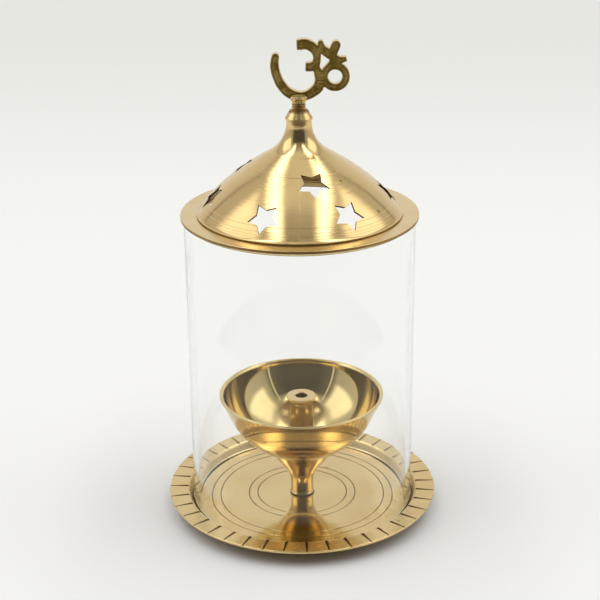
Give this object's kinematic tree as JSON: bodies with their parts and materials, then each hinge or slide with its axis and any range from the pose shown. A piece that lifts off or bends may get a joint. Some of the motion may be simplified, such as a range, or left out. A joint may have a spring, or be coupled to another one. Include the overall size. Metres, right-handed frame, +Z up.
{
  "type": "oil lamp with glass chimney",
  "caption": "Brass ritual oil lamp: a pedestal bowl with a wick tube on a notched plate, under a glass chimney and a pierced dome lid with an Om finial.",
  "frame": {"origin": "centre of the foot ring, on the table", "axes": "+Z up along the lamp's axis, the Om's face and the front of the lamp towards -Y, +X to the right of it"},
  "size_m": [0.122, 0.122, 0.2148],
  "materials": {
    "polished_brass": "turned and polished",
    "turned_brass": "turned, satin",
    "cast_brass": "cast, aged and dull",
    "clear_glass": "clear, polished"
  },
  "bodies": {
    "base": {"base_plate": "polished_brass", "base_screw": "turned_brass", "pedestal_stem": "polished_brass", "oil_bowl": "polished_brass"},
    "wick": {"wick_tube": "turned_brass"},
    "chimney": {"chimney_glass": "clear_glass"},
    "lid": {"lid_flange": "polished_brass", "lid_dome": "polished_brass", "neck_collar": "polished_brass"},
    "stud": {"finial_stud": "turned_brass"},
    "om": {"om_finial": "cast_brass"}
  },
  "joints": [
    {"name": "chimney_lift", "type": "slide", "parent": "base", "child": "chimney", "axis": [0, 0, 1], "range_m": [0, 0.06]},
    {"name": "lid_lift", "type": "slide", "parent": "chimney", "child": "lid", "axis": [0, 0, 1], "range_m": [0, 0.06]},
    {"name": "wick_lift", "type": "slide", "parent": "base", "child": "wick", "axis": [0, 0, 1], "range_m": [0, 0.06]},
    {"name": "finial_rise", "type": "slide", "parent": "lid", "child": "stud", "axis": [0, 0, 1], "range_m": [0, 0.006]},
    {"name": "finial_turn", "type": "hinge", "parent": "stud", "child": "om", "pos_m": [0, 0, 0.19], "axis": [0, 0, 1], "range_deg": [0, 2160]}
  ],
  "couplings": [
    {"joint": "finial_rise", "follows": "finial_turn", "m_per_rad": 0.00015915}
  ]
}
